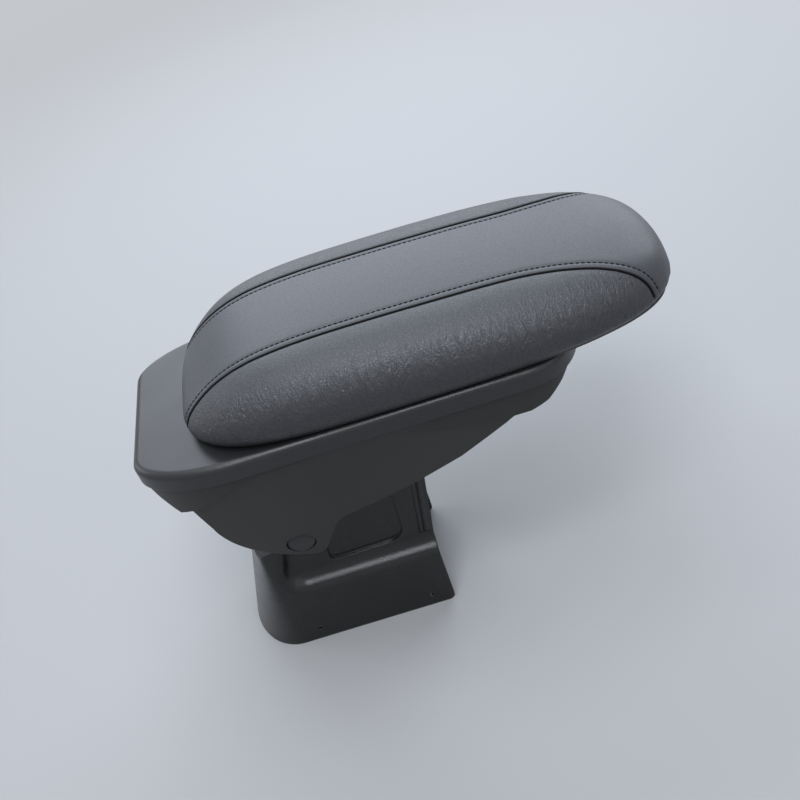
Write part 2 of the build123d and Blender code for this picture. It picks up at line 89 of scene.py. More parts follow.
def noiseNode(tree, vector, scale, detail=2.0, distortion=0.0):
    node = tree.nodes.new("ShaderNodeTexNoise")
    tree.links.new(vector, node.inputs["Vector"])
    node.inputs["Scale"].default_value = scale
    node.inputs["Detail"].default_value = detail
    node.inputs["Distortion"].default_value = distortion
    return node.outputs["Fac"]


hideGrain = {
    "warpScale": 260.0,        # bends the cells' edges
    "warpReach": 0.0016,
    "cellEdge": 0.28,
    "foldStretch": (1.0, 0.36, 0.28),
    "foldTurn": (0.0, 0.3, 0.0),
    "foldScale": 270.0,
    "foldDetail": 3.0,
    "foldDistortion": 0.9,
    "foldWidth": 0.11,
    "poreScale": 2600.0,
    "poreShare": 0.16,
    "pebbleShare": 0.3,
}


def leatherGrainGroup():
    # pebbled cells with fine pores, and longer wrinkles across the panel
    group, source, sink = newGroup(
        "leatherGrain",
        [
            ("Vector", "NodeSocketVector", None),
            ("Cell Scale", "NodeSocketFloat", 620.0),
            ("Wrinkle", "NodeSocketFloat", 0.5),
        ],
        [("Height", "NodeSocketFloat"), ("Mask", "NodeSocketFloat")],
    )
    links = group.links
    warp = group.nodes.new("ShaderNodeTexNoise")
    links.new(source.outputs["Vector"], warp.inputs["Vector"])
    warp.inputs["Scale"].default_value = hideGrain["warpScale"]
    shift = group.nodes.new("ShaderNodeVectorMath")
    shift.operation = "MULTIPLY_ADD"
    links.new(warp.outputs["Color"], shift.inputs[0])
    shift.inputs[1].default_value = [hideGrain["warpReach"]] * 3
    links.new(source.outputs["Vector"], shift.inputs[2])
    cells = group.nodes.new("ShaderNodeTexVoronoi")
    cells.feature = "DISTANCE_TO_EDGE"
    links.new(shift.outputs["Vector"], cells.inputs["Vector"])
    links.new(source.outputs["Cell Scale"], cells.inputs["Scale"])
    pebble = rangeNode(group, cells.outputs["Distance"], 0.0, hideGrain["cellEdge"], 0.0, 1.0)
    stretch = group.nodes.new("ShaderNodeMapping")
    stretch.inputs["Scale"].default_value = hideGrain["foldStretch"]
    stretch.inputs["Rotation"].default_value = hideGrain["foldTurn"]
    links.new(source.outputs["Vector"], stretch.inputs["Vector"])
    folds = noiseNode(group, stretch.outputs["Vector"], hideGrain["foldScale"],
                      hideGrain["foldDetail"], hideGrain["foldDistortion"])
    ridge = mathNode(group, "ABSOLUTE", mathNode(group, "SUBTRACT", folds, 0.5))
    crease = rangeNode(group, ridge, 0.0, hideGrain["foldWidth"], 0.0, 1.0)
    creasePart = mathNode(group, "MULTIPLY", crease, source.outputs["Wrinkle"])
    pores = noiseNode(group, source.outputs["Vector"], hideGrain["poreScale"], 1.0)
    porePart = mathNode(group, "MULTIPLY", pores, hideGrain["poreShare"])
    pebblePart = mathNode(group, "MULTIPLY", pebble, hideGrain["pebbleShare"])
    total = mathNode(group, "ADD", mathNode(group, "ADD", pebblePart, creasePart), porePart)
    links.new(total, sink.inputs["Height"])
    links.new(pebble, sink.inputs["Mask"])
    return group


mouldLook = {
    "fineDetail": 3.0,
    "broadScale": 38.0,        # faint unevenness, some 25 mm across
    "broadDetail": 3.0,
    "broadSpan": (0.3, 0.7),
    "edgeSamples": 6,
    "edgeTurn": (0.02, 0.3),   # how far a softened edge turns before it is painted paler, as wear and as a painted glint
    "edge": 0.0006,
    "wearAndGlintShare": 0.5,
    "wearAndGlintGain": 1.5,
    "wearAndGlintLift": 0.004,
}


def mouldGrainGroup():
    # fine spark-eroded texture of moulded plastic, with faint broad unevenness
    group, source, sink = newGroup(
        "mouldGrain",
        [("Vector", "NodeSocketVector", None), ("Grain Scale", "NodeSocketFloat", 1500.0)],
        [("Height", "NodeSocketFloat"), ("Mask", "NodeSocketFloat")],
    )
    links = group.links
    fine = group.nodes.new("ShaderNodeTexNoise")
    links.new(source.outputs["Vector"], fine.inputs["Vector"])
    links.new(source.outputs["Grain Scale"], fine.inputs["Scale"])
    fine.inputs["Detail"].default_value = mouldLook["fineDetail"]
    broad = noiseNode(group, source.outputs["Vector"], mouldLook["broadScale"], mouldLook["broadDetail"])
    links.new(fine.outputs["Fac"], sink.inputs["Height"])
    links.new(broad, sink.inputs["Mask"])
    return group


def edgeWearAndGlintGroup():
    # softened edges, and a mask of where they lie, along which the plastics are painted paler as wear and as a
    # painted glint
    group, source, sink = newGroup(
        "edgeWearAndGlint",
        [("Radius", "NodeSocketFloat", mouldLook["edge"])],
        [("Normal", "NodeSocketVector"), ("Mask", "NodeSocketFloat")],
    )
    bevel = group.nodes.new("ShaderNodeBevel")
    bevel.samples = mouldLook["edgeSamples"]
    group.links.new(source.outputs["Radius"], bevel.inputs["Radius"])
    geometry = group.nodes.new("ShaderNodeNewGeometry")
    match = group.nodes.new("ShaderNodeVectorMath")
    match.operation = "DOT_PRODUCT"
    group.links.new(bevel.outputs["Normal"], match.inputs[0])
    group.links.new(geometry.outputs["Normal"], match.inputs[1])
    turned = mathNode(group, "SUBTRACT", 1.0, match.outputs["Value"])
    group.links.new(bevel.outputs["Normal"], sink.inputs["Normal"])
    group.links.new(rangeNode(group, turned, *mouldLook["edgeTurn"], 0.0, 1.0), sink.inputs["Mask"])
    return group


leatherGrain = leatherGrainGroup()
mouldGrain = mouldGrainGroup()
edgeWearAndGlint = edgeWearAndGlintGroup()


def newMaterial(name):
    material = bpy.data.materials.new(name)
    material.use_nodes = True
    shader = material.node_tree.nodes["Principled BSDF"]
    return material, material.node_tree, shader


def mixColours(tree, factor, first, second):
    node = tree.nodes.new("ShaderNodeMix")
    node.data_type = "RGBA"
    tree.links.new(factor, node.inputs["Factor"])
    for label, colour in (("A", first), ("B", second)):
        if isinstance(colour, (tuple, list)):
            node.inputs[label].default_value = (*colour, 1.0)
        else:
            tree.links.new(colour, node.inputs[label])
    return node.outputs["Result"]


def bumpInto(tree, shader, height, strength, distance, normal=None):
    bump = tree.nodes.new("ShaderNodeBump")
    if normal is not None:
        tree.links.new(normal, bump.inputs["Normal"])
    bump.inputs["Strength"].default_value = strength
    bump.inputs["Distance"].default_value = distance
    tree.links.new(height, bump.inputs["Height"])
    tree.links.new(bump.outputs["Normal"], shader.inputs["Normal"])


def objectVector(tree):
    return tree.nodes.new("ShaderNodeTexCoord").outputs["Object"]


leatherLook = {
    "faintShare": 0.12,        # wrinkle that is left on the smooth upper face
    "dullCells": 0.1,
    "dullSeam": 0.4,
}


def leatherMaterial(name, look):
    material, tree, shader = newMaterial(name)
    grain = tree.nodes.new("ShaderNodeGroup")
    grain.node_tree = leatherGrain
    vector = objectVector(tree)
    tree.links.new(vector, grain.inputs["Vector"])
    grain.inputs["Cell Scale"].default_value = look["cellScale"]
    places = tree.nodes.new("ShaderNodeSeparateXYZ")
    tree.links.new(vector, places.inputs["Vector"])
    strong, faint = look["wrinkle"], look["wrinkle"] * leatherLook["faintShare"]
    wrinkle = rangeNode(tree, places.outputs["Z"], look["wrinkledAt"], look["smoothAt"], strong, faint)
    tree.links.new(wrinkle, grain.inputs["Wrinkle"])
    # painted shade: the leather's colour is darkened along each seam groove, by a per-point mask set when the
    # cover is built
    shade = tree.nodes.new("ShaderNodeAttribute")
    shade.attribute_name = "paintedSeamShade"
    skin = mixColours(tree, grain.outputs["Mask"], look["dark"], look["pale"])
    seamShadowed = mixColours(tree, shade.outputs["Fac"], skin, look["seamShadow"])
    tree.links.new(seamShadowed, shader.inputs["Base Color"])
    dull, shiny = look["roughness"] + leatherLook["dullCells"], look["roughness"]
    rough = rangeNode(tree, grain.outputs["Mask"], 0.0, 1.0, dull, shiny)
    dullness = mathNode(tree, "MULTIPLY", shade.outputs["Fac"], leatherLook["dullSeam"])
    dulled = mathNode(tree, "ADD", rough, dullness)
    tree.links.new(dulled, shader.inputs["Roughness"])
    bumpInto(tree, shader, grain.outputs["Height"], look["bump"], look["bumpDepth"])
    shader.inputs["Specular IOR Level"].default_value = look["specular"]
    return material


def plasticMaterial(name, look):
    material, tree, shader = newMaterial(name)
    grain = tree.nodes.new("ShaderNodeGroup")
    grain.node_tree = mouldGrain
    tree.links.new(objectVector(tree), grain.inputs["Vector"])
    grain.inputs["Grain Scale"].default_value = look["grainScale"]
    edges = tree.nodes.new("ShaderNodeGroup")
    edges.node_tree = edgeWearAndGlint
    edges.inputs["Radius"].default_value = look.get("edge", mouldLook["edge"])
    moulded = mixColours(tree, grain.outputs["Mask"], look["dark"], look["pale"])
    # paler along edges: wear, and a painted glint on the rims
    wearAndGlint = mathNode(tree, "MULTIPLY", edges.outputs["Mask"], mouldLook["wearAndGlintShare"])
    wornAndGlintColour = [mouldLook["wearAndGlintGain"] * level + mouldLook["wearAndGlintLift"] for level in look["pale"]]
    tree.links.new(mixColours(tree, wearAndGlint, moulded, wornAndGlintColour), shader.inputs["Base Color"])
    rough = rangeNode(tree, grain.outputs["Mask"], *mouldLook["broadSpan"], *look["roughness"])
    tree.links.new(rough, shader.inputs["Roughness"])
    bumpInto(tree, shader, grain.outputs["Height"], look["bump"], look["bumpDepth"], edges.outputs["Normal"])
    shader.inputs["Metallic"].default_value = look.get("metallic", 0.0)
    shader.inputs["Specular IOR Level"].default_value = look.get("specular", 0.5)
    return material


finishes = {
    "base_shell": dict(dark=(0.007, 0.007, 0.008), pale=(0.011, 0.011, 0.012), roughness=(0.22, 0.29),
                       grainScale=900.0, bump=0.4, bumpDepth=0.0003, specular=0.55, edge=0.0022),
    "box_plastic": dict(dark=(0.024, 0.0235, 0.022), pale=(0.031, 0.0305, 0.029), roughness=(0.34, 0.42),
                        grainScale=1500.0, bump=0.3, bumpDepth=0.0002, edge=0.0012),
    "deck_plastic": dict(dark=(0.026, 0.026, 0.028), pale=(0.032, 0.032, 0.034), roughness=(0.30, 0.38),
                         grainScale=1500.0, bump=0.3, bumpDepth=0.0002, specular=0.55, edge=0.0009),
    "cap_plastic": dict(dark=(0.044, 0.044, 0.046), pale=(0.054, 0.054, 0.057), roughness=(0.42, 0.5),
                        grainScale=1800.0, bump=0.2, bumpDepth=0.0002),
    "pan_plastic": dict(dark=(0.014, 0.014, 0.015), pale=(0.020, 0.020, 0.021), roughness=(0.55, 0.65),
                        grainScale=1200.0, bump=0.3, bumpDepth=0.0002),
    "glide_nylon": dict(dark=(0.46, 0.45, 0.41), pale=(0.54, 0.53, 0.49), roughness=(0.38, 0.48),
                        grainScale=900.0, bump=0.1, bumpDepth=0.0001),
    "washer_nylon": dict(dark=(0.05, 0.05, 0.05), pale=(0.065, 0.065, 0.065), roughness=(0.42, 0.5),
                         grainScale=1200.0, bump=0.15, bumpDepth=0.0001),
    "buffer_rubber": dict(dark=(0.012, 0.012, 0.012), pale=(0.020, 0.020, 0.020), roughness=(0.7, 0.85),
                          grainScale=1000.0, bump=0.3, bumpDepth=0.0003),
    "mat_rubber": dict(dark=(0.018, 0.018, 0.019), pale=(0.026, 0.026, 0.028), roughness=(0.7, 0.85),
                       grainScale=700.0, bump=0.5, bumpDepth=0.0004),
    "pivot_steel": dict(dark=(0.44, 0.45, 0.46), pale=(0.56, 0.57, 0.58), roughness=(0.26, 0.4),
                        grainScale=900.0, bump=0.1, bumpDepth=0.0001, metallic=1.0),
    "screw_steel": dict(dark=(0.40, 0.41, 0.42), pale=(0.52, 0.53, 0.55), roughness=(0.26, 0.38),
                        grainScale=900.0, bump=0.1, bumpDepth=0.0001, metallic=1.0),
    "magnet_metal": dict(dark=(0.10, 0.10, 0.11), pale=(0.16, 0.16, 0.17), roughness=(0.4, 0.55),
                         grainScale=1000.0, bump=0.2, bumpDepth=0.0002, metallic=0.6),
    "pad_foam": dict(dark=(0.50, 0.46, 0.31), pale=(0.62, 0.58, 0.42), roughness=(0.85, 0.95),
                     grainScale=800.0, bump=0.6, bumpDepth=0.0006),
}
materials = {name: plasticMaterial(name, look) for name, look in finishes.items()}
# the side panels are given darker colours than the centre: painted shade on the sides, painted light on the top
coverLooks = {
    "centre": dict(cellScale=700.0, wrinkle=0.1, wrinkledAt=0.215, smoothAt=0.235,
                   dark=(0.050, 0.052, 0.062), pale=(0.063, 0.066, 0.078), seamShadow=(0.004, 0.004, 0.004),
                   roughness=0.42, bump=0.22, bumpDepth=0.0003, specular=0.7),
    "side": dict(cellScale=600.0, wrinkle=1.15, wrinkledAt=0.234, smoothAt=0.249,
                 dark=(0.031, 0.032, 0.038), pale=(0.052, 0.054, 0.063), seamShadow=(0.004, 0.004, 0.004),
                 roughness=0.41, bump=0.55, bumpDepth=0.0005, specular=0.7),
}
coverMaterials = {name: leatherMaterial(name + "Leather", look) for name, look in coverLooks.items()}
print("materials made:", len(materials) + len(coverMaterials))

slotOfNode = {part["node"]: part["material_slot"] for part in frame["record"]["subparts"]}
for name, node in nodes.items():
    slot = slotOfNode[name]
    if slot == "cover_leather":
        continue
    node.data.materials.clear()
    node.data.materials.append(materials[slot])


pad = {
    "weld": 0.02 * mm,
    "voxel": 3.2 * mm,         # remesh size of the stuffed form
    "smoothing": 2,
    "rimBand": 7.0 * mm,
    "rimSmoothing": 5,
    "pressure": 14.0,          # what the foam presses the cover out with
    "frames": 20,
    "quality": 5,
    "heldRim": 6.0 * mm,       # held fast up to here
    "heldSeam": 6.0 * mm,      # held less and less this far from a seam
    "heldFacing": -0.3,
    "swellCap": 3.0 * mm,
    "tightFrom": 9.0 * mm,     # above this the filled cover is pulled smooth
    "tightSteps": 3,
    "noseSteps": 10,
    "seamHalf": 36.4 * mm,     # the seams' plan, as in the cover panels
    "flareStart": 172.0 * mm,
    "flareEnd": 281.2 * mm,
    "flareReach": 32.0 * mm,
    "flareCuts": 16,
    "cutFrom": -200.0 * mm,    # well behind the pad
    "cutReach": 8.0 * mm,
    "cutWeld": 0.05 * mm,
    "linePoints": 700,
    "linePitch": 0.5 * mm,
    "tipLow": 6.0 * mm,        # the seams stop this far above the pan's underside
    "tipEnd": 7.0 * mm,
    "tipSteps": 14,
    "tipAhead": 0.3 * mm,
    "tipAside": 0.2 * mm,
    "tipDown": 1.0 * mm,
    "tipLeast": 0.2 * mm,
    "fineReach": 7.0 * mm,     # finer faces this near to a seam
    "seamReach": 8.0 * mm,
    "seamDepth": 1.5 * mm,
    "seamWidth": 0.9 * mm,
    "seamDip": 0.25 * mm,
    "dipWidth": 3.2 * mm,
    # how far the painted shade along a seam reaches
    "paintedSeamShade": 1.05 * mm,
    "shadowLineRadius": 0.7 * mm,
    "shadowLineSink": 0.55 * mm,
    "shadowLineEvery": 4,          # every fourth place of the seam's line
    "shadowLineRound": 2,
    "stitchOffset": 5.0 * mm,
    "stitchPitch": 3.3 * mm,
    "stitchLength": 2.7 * mm,
    "stitchRadius": 0.48 * mm,
    "stitchDent": 0.6 * mm,
    "dentWidth": 1.0 * mm,
    "stitchSink": 0.75,
    "stitchRound": 6,
    "stitchRings": 5,
    "noseFrom": 205.0 * mm,    # the front end is rounder in plan than its solid
    "noseTo": 268.0 * mm,
    "noseReach": 4.8 * mm,
    "noseHalf": 38.0 * mm,
    "noseBack": -0.5,
    "rim": 5.0 * mm,           # leather turned under the pan
    "rimDrop": 0.4 * mm,
    "rimRise": 3.0 * mm,
    "underRise": 1.5 * mm,
    "underFacing": -0.8,
    "probeDrop": 10.0 * mm,    # rays that look for the pan start this far below it
    "probeReach": 12.0 * mm,
    "probeTurns": 8,
    "skin": 5.5 * mm,          # from the leather's face to the foam
    "coreGap": 0.3 * mm,
    "coreSmoothing": 8,
    "coreFacing": -0.6,
    "hide": 1.6 * mm,          # the leather's thickness
    "hideCorner": math.radians(75.0),
}


def seamY(x):
    # half width of the centre panel at a place along the pad: straight, then an arc that runs outwards
    ahead = max(x - pad["flareStart"], 0.0)
    run = pad["flareEnd"] - pad["flareStart"]
    radius = (run ** 2 + pad["flareReach"] ** 2) / (2 * pad["flareReach"])
    return pad["seamHalf"] + radius - math.sqrt(max(radius ** 2 - ahead ** 2, 0.0))


def evaluatedMesh(obj):
    graph = bpy.context.evaluated_depsgraph_get()
    return bpy.data.meshes.new_from_object(obj.evaluated_get(graph))


def linkObject(name, data):
    obj = bpy.data.objects.new(name, data)
    bpy.context.scene.collection.objects.link(obj)
    return obj


def formFrom(mesh):
    form = bmesh.new()
    form.from_mesh(mesh)
    return form


def meshFrom(form, name):
    mesh = bpy.data.meshes.new(name)
    form.to_mesh(mesh)
    form.free()
    return mesh


def smoothed(form, verts, steps):
    for step in range(steps):
        bmesh.ops.smooth_vert(form, verts=verts, factor=0.5, use_axis_x=True, use_axis_y=True, use_axis_z=True)


def panLevels():
    low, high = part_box("pad_pan")
    return low[2], high[2]


def stuffedForm():
    # one closed form from the cover panels and what they wrap, remeshed evenly
    form = bmesh.new()
    for name in ("cover_centre_panel", "cover_left_panel", "cover_right_panel", "pad_foam", "pad_pan"):
        form.from_mesh(nodes[name].data)
    bmesh.ops.remove_doubles(form, verts=form.verts, dist=pad["weld"])
    obj = linkObject("stuffedForm", meshFrom(form, "stuffedForm"))
    remesh = obj.modifiers.new("remesh", "REMESH")
    remesh.mode = "VOXEL"
    remesh.voxel_size = pad["voxel"]
    obj.data = evaluatedMesh(obj)
    obj.modifiers.clear()
    return obj


def roundNose(form):
    # the front end swells in the middle and draws back at its corners
    span = pad["noseTo"] - pad["noseFrom"]
    for vert in form.verts:
        share = min(max((vert.co.x - pad["noseFrom"]) / span, 0.0), 1.0)
        ease = share * share * (3.0 - 2.0 * share)
        vert.co.x += ease * pad["noseReach"] * max(1.0 - (vert.co.y / pad["noseHalf"]) ** 2, pad["noseBack"])


def pulledTight(mesh, low):
    # the filled cover without the small waves that the filling leaves, most of all on the nose
    form = formFrom(mesh)
    upper = [vert for vert in form.verts if vert.co.z > low + pad["tightFrom"]]
    nose = [vert for vert in upper if vert.co.x > pad["noseFrom"]]
    smoothed(form, upper, pad["tightSteps"])
    smoothed(form, nose, pad["noseSteps"])
    form.to_mesh(mesh)
    form.free()


def fillCover(obj):
    # the cover pressed out by its filling, held at its seams and at its lower rim
    low = panLevels()[0]
    mesh = obj.data
    form = formFrom(mesh)
    smoothed(form, form.verts, pad["smoothing"])
    roundNose(form)
    smoothed(form, [vert for vert in form.verts if vert.co.z < low + pad["rimBand"]], pad["rimSmoothing"])
    for vert in form.verts:
        vert.co.z = max(vert.co.z, low)
    form.to_mesh(mesh)
    form.free()
    held = obj.vertex_groups.new(name="held")
    for vert in mesh.vertices:
        gap = abs(abs(vert.co.y) - seamY(vert.co.x))
        top = vert.normal.z > pad["heldFacing"]
        if vert.co.z < low + pad["heldRim"]:
            held.add([vert.index], 1.0, "REPLACE")
        elif top and gap < pad["heldSeam"]:
            held.add([vert.index], 1.0 - gap / pad["heldSeam"], "REPLACE")
    start = [vert.co.copy() for vert in mesh.vertices]
    cloth = obj.modifiers.new("filling", "CLOTH")
    cloth.settings.quality = pad["quality"]
    cloth.settings.use_pressure = True
    cloth.settings.uniform_pressure_force = pad["pressure"]
    cloth.settings.vertex_group_mass = "held"
    cloth.settings.effector_weights.gravity = 0.0
    cloth.point_cache.frame_start = 1
    cloth.point_cache.frame_end = pad["frames"]
    for number in range(1, pad["frames"] + 1):
        bpy.context.scene.frame_set(number)
    swollen = evaluatedMesh(obj)
    for vert, old in zip(swollen.vertices, start):
        move = vert.co - old
        if move.length > pad["swellCap"]:
            move *= pad["swellCap"] / move.length
        vert.co = old + move
        vert.co.z = max(vert.co.z, low)
    obj.modifiers.clear()
    obj.data = swollen
    bpy.context.scene.frame_set(1)
    pulledTight(swollen, low)


def cutSeam(form, side):
    # an edge loop along the seam: one plane for the straight run, short planes along the flare
    runs = [(pad["cutFrom"], pad["flareStart"])]
    span = (pad["flareEnd"] - pad["flareStart"]) / pad["flareCuts"]
    for number in range(pad["flareCuts"]):
        runs.append((pad["flareStart"] + span * number, pad["flareStart"] + span * (number + 1)))

    def onSeam(face, first, last):
        spot = face.calc_center_median()
        return first <= spot.x < last and abs(spot.y - side * seamY(spot.x)) < pad["cutReach"]

    for first, last in runs:
        a = Vector((first, side * seamY(first), 0.0))
        b = Vector((last, side * seamY(last), 0.0))
        normal = Vector((0, 0, 1)).cross(b - a).normalized()
        near = [face for face in form.faces if onSeam(face, first, last)]
        geometry = set(near)
        for face in near:
            geometry.update(face.edges)
            geometry.update(face.verts)
        bmesh.ops.bisect_plane(form, geom=list(geometry), dist=pad["cutWeld"], plane_co=a, plane_no=normal)


def seamPoints(tree, side):
    # the seam's line on the form, from the rear tip to the front tip, evenly dense
    low = panLevels()[0]
    points = []
    count = pad["linePoints"]
    first, last = (corner[0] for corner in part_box("cover_centre_panel"))
    last += pad["noseReach"]
    above = 0.4                # rays start well above the pad
    for number in range(count + 1):
        x = first + (last - first) * number / count
        hit = tree.ray_cast(Vector((x, side * seamY(x), above)), Vector((0, 0, -1)))
        if hit[0] is not None and hit[0].z > low + pad["tipLow"]:
            points.append((hit[0], hit[1]))
    # both tips run on down the pad's ends
    for end, ahead in ((0, -pad["tipAhead"]), (-1, pad["tipAhead"])):
        onward = Vector((ahead, side * pad["tipAside"], -pad["tipDown"]))
        for drop in range(pad["tipSteps"]):
            spot, normal = tree.find_nearest(points[end][0] + onward)[:2]
            if spot.z < low + pad["tipEnd"] or spot.z > points[end][0].z - pad["tipLeast"]:
                break
            points.insert(0 if end == 0 else len(points), (spot, normal))
    return points


def evenPoints(points, pitch):
    # the same line at an even pitch
    spaced = [points[0]]
    left = pitch
    for (a, normalA), (b, normalB) in zip(points, points[1:]):
        length = (b - a).length
        done = 0.0
        while length - done >= left:
            done += left
            share = done / length
            spaced.append((a.lerp(b, share), normalA.lerp(normalB, share).normalized()))
            left = pitch
        left -= length - done
    return spaced


def nearestTree(points):
    tree = KDTree(len(points))
    for index, (point, normal) in enumerate(points):
        tree.insert(point, index)
    tree.balance()
    return tree


def foamCore(form):
    # the filling under the leather, drawn in from the cover and standing on the pan
    floorLevel = panLevels()[1] + pad["coreGap"]
    core = form.copy()
    smoothed(core, core.verts, pad["coreSmoothing"])
    core.normal_update()
    for vert in core.verts:
        if vert.normal.z > pad["coreFacing"]:
            vert.co -= vert.normal * pad["skin"]
    for vert in core.verts:
        vert.co.z = max(vert.co.z, floorLevel)
    for face in core.faces:
        face.smooth = True
    return linkObject("foamCore", meshFrom(core, "foamCore"))


def buildCover():
    obj = stuffedForm()
    fillCover(obj)
    soften = obj.modifiers.new("soften", "SUBSURF")
    soften.levels = soften.render_levels = 1
    obj.data = evaluatedMesh(obj)
    obj.modifiers.clear()
    form = formFrom(obj.data)
    print("stuffed form:", len(form.verts), "points")
    core = foamCore(form)
    surface = BVHTree.FromBMesh(form)
    seams = {side: seamPoints(surface, side) for side in (-1, 1)}
    fine = {side: evenPoints(seams[side], pad["linePitch"]) for side in (-1, 1)}
    trees = {side: nearestTree(fine[side]) for side in (-1, 1)}
    rows = {}
    for side in (-1, 1):
        rows[side] = []
        for (a, normal), (b, other) in zip(fine[side], fine[side][1:]):
            across = normal.cross(b - a).normalized() * side
            if across.y * side > 0:
                across = -across
            spot = surface.find_nearest(a + across * pad["stitchOffset"])
            rows[side].append((spot[0], spot[1]))
        cutSeam(form, side)
    # finer faces along the seams and the stitch rows
    near = []
    for edge in form.edges:
        middle = (edge.verts[0].co + edge.verts[1].co) / 2
        if min(tree.find(middle)[2] for tree in trees.values()) < pad["fineReach"]:
            near.append(edge)
    bmesh.ops.subdivide_edges(form, edges=near, cuts=1, use_grid_fill=True)
    rowTrees = {side: nearestTree(rows[side]) for side in (-1, 1)}
    form.normal_update()
    moves = []
    # painted shade along the seams: a mask by which the leather's colour is darkened in the groove
    shadeLayer = form.verts.layers.float.new("paintedSeamShade")
    for vert in form.verts:
        depth = 0.0
        for side in (-1, 1):
            gap = trees[side].find(vert.co)[2]
            if gap < pad["seamReach"]:
                vert[shadeLayer] += math.exp(-(gap / pad["paintedSeamShade"]) ** 2)
                depth += pad["seamDepth"] * math.exp(-(gap / pad["seamWidth"]) ** 2)
                depth += pad["seamDip"] * math.exp(-(gap / pad["dipWidth"]) ** 2)
                dent = rowTrees[side].find(vert.co)[2]
                depth += pad["stitchDent"] * math.exp(-(dent / pad["dentWidth"]) ** 2)
        if depth:
            moves.append((vert, vert.normal * -depth))
    for vert, move in moves:
        vert.co += move
    form.normal_update()
    for face in form.faces:
        face.smooth = True
    return obj, form, rows, fine, core


def surfaceOf(node):
    # a CAD node's faces, to cast rays at
    form = formFrom(nodes[node].data)
    tree = BVHTree.FromBMesh(form)
    form.free()
    return tree


def openUnderside(form):
    # the leather turns under the pan by a rim, and the pan shows inside it
    low = panLevels()[0]
    pan = surfaceOf("pad_pan")
    under = [face for face in form.faces
             if face.normal.z < pad["underFacing"] and face.calc_center_median().z < low + pad["underRise"]]
    reaches = [(0.0, 0.0)]
    for number in range(pad["probeTurns"]):
        turn = math.radians(360.0 / pad["probeTurns"] * number)
        reaches.append((pad["rim"] * math.cos(turn), pad["rim"] * math.sin(turn)))
    drop = []
    for face in under:
        spot = face.calc_center_median()
        starts = [Vector((spot.x + dx, spot.y + dy, low - pad["probeDrop"])) for dx, dy in reaches]
        hits = [pan.ray_cast(start, Vector((0, 0, 1)))[3] for start in starts]
        if all(hit is not None and hit < pad["probeReach"] for hit in hits):
            drop.append(face)
    for vert in form.verts:
        if vert.co.z < low + pad["rimRise"]:
            vert.co.z -= pad["rimDrop"] * (1.0 - max(vert.co.z - low, 0.0) / pad["rimRise"])
    bmesh.ops.delete(form, geom=drop, context="FACES")
    print("underside opened:", len(drop), "faces")


def splitPanels(form):
    # the centre strip and the two side panels, each its own piece
    panels = {}
    for name, keep in (
        ("coverCentre", lambda spot: abs(spot.y) < seamY(spot.x)),
        ("coverRight", lambda spot: spot.y <= -seamY(spot.x)),
        ("coverLeft", lambda spot: spot.y >= seamY(spot.x)),
    ):
        part = form.copy()
        drop = [face for face in part.faces if not keep(face.calc_center_median())]
        bmesh.ops.delete(part, geom=drop, context="FACES")
        panel = linkObject(name, meshFrom(part, name))
        # the leather's thickness goes inwards, so each panel is a closed shell
        hide = panel.modifiers.new("hide", "SOLIDIFY")
        hide.thickness = pad["hide"]
        hide.offset = -1.0
        panel.data = evaluatedMesh(panel)
        panel.modifiers.clear()
        panel.data.set_sharp_from_angle(angle=pad["hideCorner"])
        panels[name] = panel
    return panels


stuffed, coverForm, stitchRows, seamLines, foamPiece = buildCover()
openUnderside(coverForm)
panels = splitPanels(coverForm)
coverForm.free()
bpy.data.objects.remove(stuffed)
coverPieces = {
    "coverCentre": ("centre", "cover_centre_panel"),
    "coverRight": ("side", "cover_right_panel"),
    "coverLeft": ("side", "cover_left_panel"),
}
for name, (look, node) in coverPieces.items():
    panels[name].data.materials.append(coverMaterials[look])
    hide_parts(node)
    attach(panels[name], "pad")
foamPiece.data.materials.append(materials["pad_foam"])
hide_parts("pad_foam")
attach(foamPiece, "pad")
print("cover panels:", {name: len(panel.data.polygons) for name, panel in panels.items()})


# dark thread for the topstitches, also used for the painted seam shadow lines
threadAndShadowLook = dict(dark=(0.004, 0.004, 0.005), pale=(0.008, 0.008, 0.009), roughness=(0.7, 0.85),
                  grainScale=2400.0, bump=0.5, bumpDepth=0.0002, specular=0.2, edge=0.0001)
threadAndShadowMaterial = plasticMaterial("stitchThreadAndSeamShadow", threadAndShadowLook)


def stitchRow(name, row):
    spaced = evenPoints(row, pad["stitchPitch"])
    form = bmesh.new()
    for (spot, normal), (nextSpot, other) in zip(spaced, spaced[1:]):
        along = (nextSpot - spot).normalized()
        across = normal.cross(along).normalized()
        up = along.cross(across)
        turn = Matrix((across, up, along)).transposed().to_4x4()
        middle = spot.lerp(nextSpot, 0.5) - normal * (pad["stitchDent"] * pad["stitchSink"])
        place = Matrix.Translation(middle) @ turn
        made = bmesh.ops.create_uvsphere(form, u_segments=pad["stitchRound"],
                                         v_segments=pad["stitchRings"], radius=1.0)
        size = Matrix.Diagonal((pad["stitchRadius"], pad["stitchRadius"], pad["stitchLength"] / 2, 1.0))
        bmesh.ops.transform(form, matrix=place @ size, verts=made["verts"])
    for face in form.faces:
        face.smooth = True
    obj = linkObject(name, meshFrom(form, name))
    obj.data.materials.append(threadAndShadowMaterial)
    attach(obj, "pad")
    return obj


